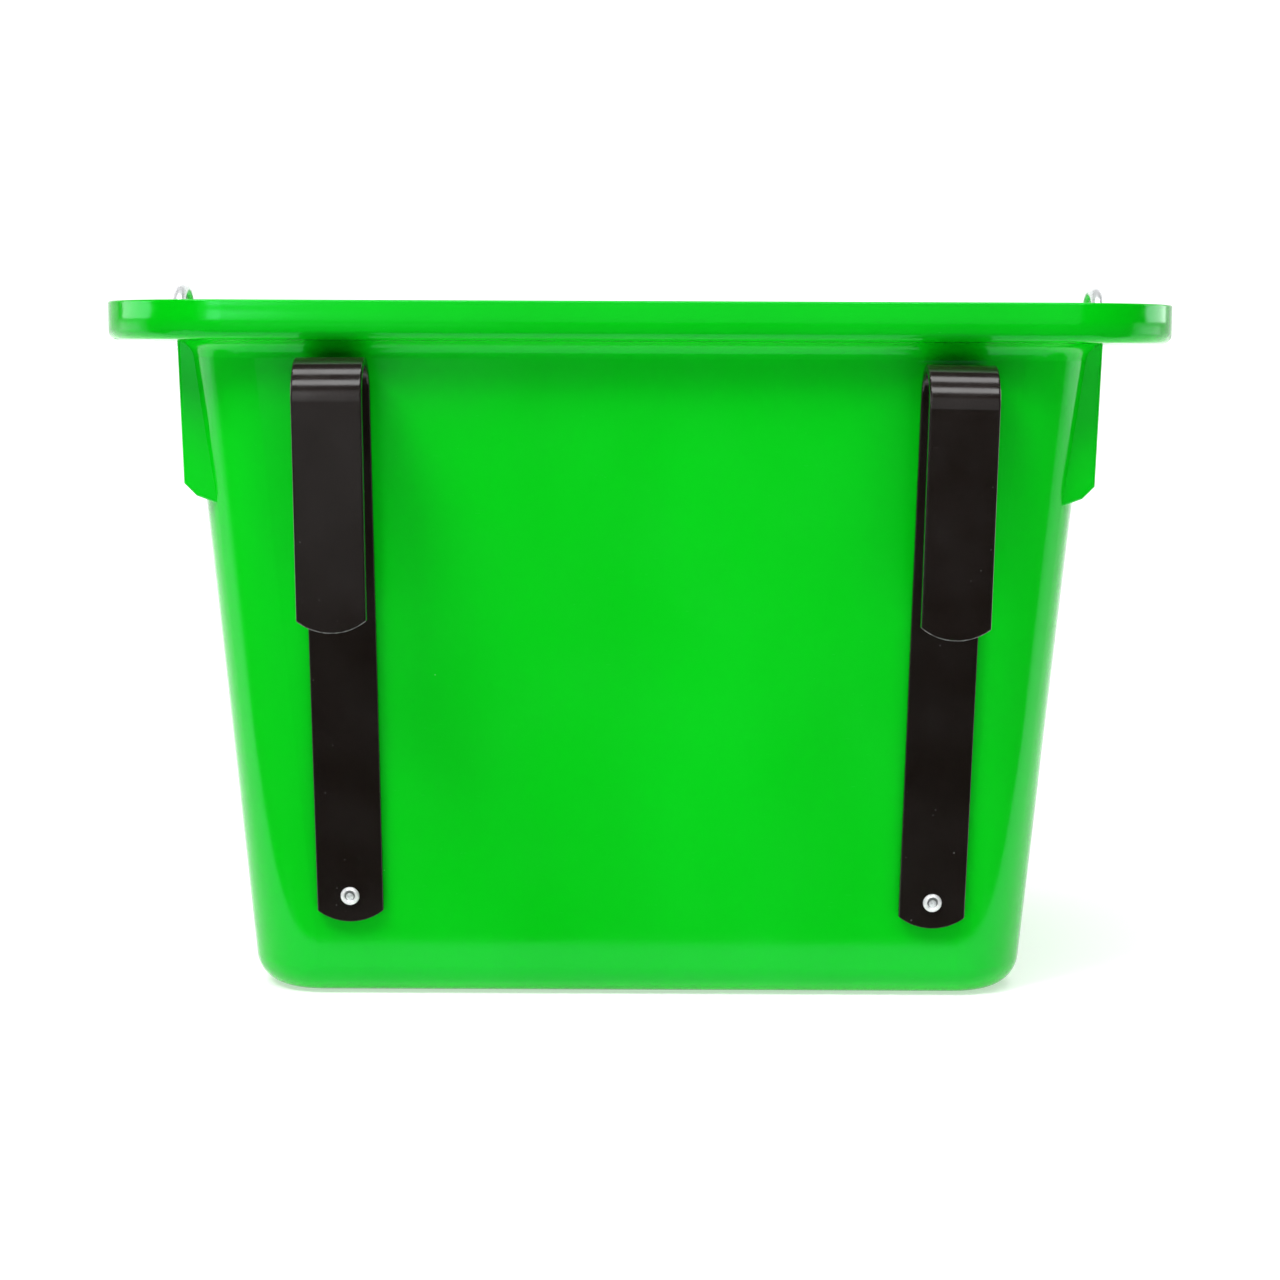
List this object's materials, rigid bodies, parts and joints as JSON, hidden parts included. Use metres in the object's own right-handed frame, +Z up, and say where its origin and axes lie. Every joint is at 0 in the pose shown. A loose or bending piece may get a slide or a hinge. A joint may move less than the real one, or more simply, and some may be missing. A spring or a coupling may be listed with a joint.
{
  "type": "hook-on feed bucket",
  "caption": "Rectangular plastic feed bucket with an upturned rim lip, flat steel hooks riveted to its back wall and a hinged wire carrying bail.",
  "frame": {"origin": "on the standing surface, under the middle of the whole object's bounding box", "axes": "+Z up; +X to the right seen from the hook side; -Y is the side with the hooks, +Y the front that faces the animal"},
  "size_m": [0.403, 0.3523, 0.2773],
  "materials": {
    "green_plastic": "glossy injection-moulded polypropylene, bright green",
    "black_paint": "satin black powder coat on flat steel",
    "zinc_wire": "bright zinc-plated steel wire",
    "bright_rivet": "bright drawn aluminium",
    "steel_stem": "snapped zinc-plated steel stem",
    "zinc_washer": "zinc-plated steel"
  },
  "bodies": {
    "bucket": {"tub": "green_plastic", "left_hook": "black_paint", "right_hook": "black_paint", "left_upper_rivet": "bright_rivet", "left_upper_mandrel": "steel_stem", "left_upper_washer": "zinc_washer", "left_lower_rivet": "bright_rivet", "left_lower_mandrel": "steel_stem", "left_lower_washer": "zinc_washer", "right_upper_rivet": "bright_rivet", "right_upper_mandrel": "steel_stem", "right_upper_washer": "zinc_washer", "right_lower_rivet": "bright_rivet", "right_lower_mandrel": "steel_stem", "right_lower_washer": "zinc_washer"},
    "bail": {"bail_handle": "zinc_wire"}
  },
  "joints": [
    {"name": "bail_hinge", "type": "hinge", "parent": "bucket", "child": "bail", "pos_m": [-0.0008, 0.00815, 0.2618], "axis": [1, 0, 0], "range_deg": [0, 180]}
  ]
}
